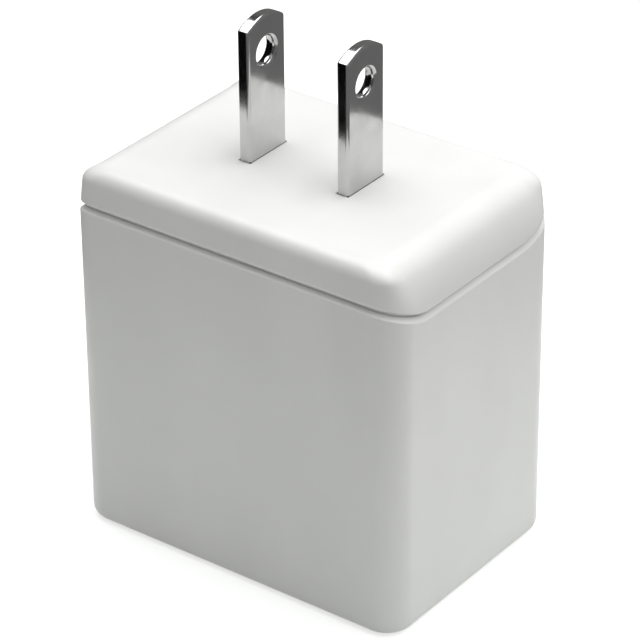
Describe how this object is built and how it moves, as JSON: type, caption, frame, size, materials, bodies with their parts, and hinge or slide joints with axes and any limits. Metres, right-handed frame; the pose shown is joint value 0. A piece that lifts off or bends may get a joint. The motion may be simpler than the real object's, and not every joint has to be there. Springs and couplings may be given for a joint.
{
  "type": "power adapter",
  "caption": "White wall plug power adapter with two fixed flat plug blades, a rounded two part housing with a stepped parting line, and a socket in its base.",
  "frame": {"origin": "middle of the base, the face with the output socket, that the adapter stands on", "axes": "+X along the wide faces, across the two blades; +Y from the front wide face to the back one; +Z from the base to the tips of the plug blades"},
  "size_m": [0.0426, 0.0292, 0.0597],
  "materials": {
    "shell_plastic": "fine satin moulded plastic, white",
    "blade_nickel": "nickel plated brass, satin",
    "retainer_plastic": "moulded, black",
    "lead_black": "wire insulation, black",
    "lead_white": "wire insulation, white",
    "board_laminate": "paper laminate, tan",
    "board_mask": "solder mask, green",
    "fuse_coat": "flameproof lacquer, grey green",
    "choke_coat": "epoxy dipped, green",
    "mould_compound": "moulding compound, black",
    "can_aluminium": "drawn can, bright",
    "sleeve_film": "shrunk sleeve, dark blue",
    "seal_rubber": "moulded seal",
    "bobbin_plastic": "moulded, black",
    "winding_copper": "enamelled copper wire",
    "tape_yellow": "film tape, yellow",
    "ferrite": "pressed ferrite, dark grey",
    "disc_coat": "dipped coating, blue",
    "chip_ceramic": "glazed chip",
    "socket_steel": "nickel plated steel",
    "socket_insulator": "moulded, white",
    "contact_gold": "gold flash",
    "tinned_wire": "tinned",
    "solder": "solder, bright"
  },
  "bodies": {
    "root": {"blade_cap": "shell_plastic", "blade_left": "blade_nickel", "blade_retainer": "retainer_plastic", "blade_right": "blade_nickel", "bridge_rectifier": "mould_compound", "bridging_capacitor": "disc_coat", "bulk_capacitor_cans": "can_aluminium", "bulk_capacitor_seals": "seal_rubber", "bulk_capacitor_sleeves": "sleeve_film", "case": "shell_plastic", "chip_resistors": "chip_ceramic", "component_leads": "tinned_wire", "controller_chip": "mould_compound", "core_left": "ferrite", "core_right": "ferrite", "core_tape": "tape_yellow", "fusible_resistor": "fuse_coat", "input_inductor": "choke_coat", "live_lead": "lead_black", "main_board": "board_laminate", "neutral_lead": "lead_white", "output_board": "board_mask", "output_capacitor_cans": "can_aluminium", "output_capacitor_seals": "seal_rubber", "output_capacitor_sleeves": "sleeve_film", "output_diode": "mould_compound", "port_contacts": "contact_gold", "port_insulator": "socket_insulator", "port_shell": "socket_steel", "primary_winding": "winding_copper", "secondary_winding": "winding_copper", "solder_joints": "solder", "supply_capacitor_can": "can_aluminium", "supply_capacitor_seal": "seal_rubber", "supply_capacitor_sleeve": "sleeve_film", "switch_transistor": "mould_compound", "transformer_bobbin": "bobbin_plastic", "transformer_pins": "tinned_wire", "winding_tape": "tape_yellow"}
  },
  "joints": []
}
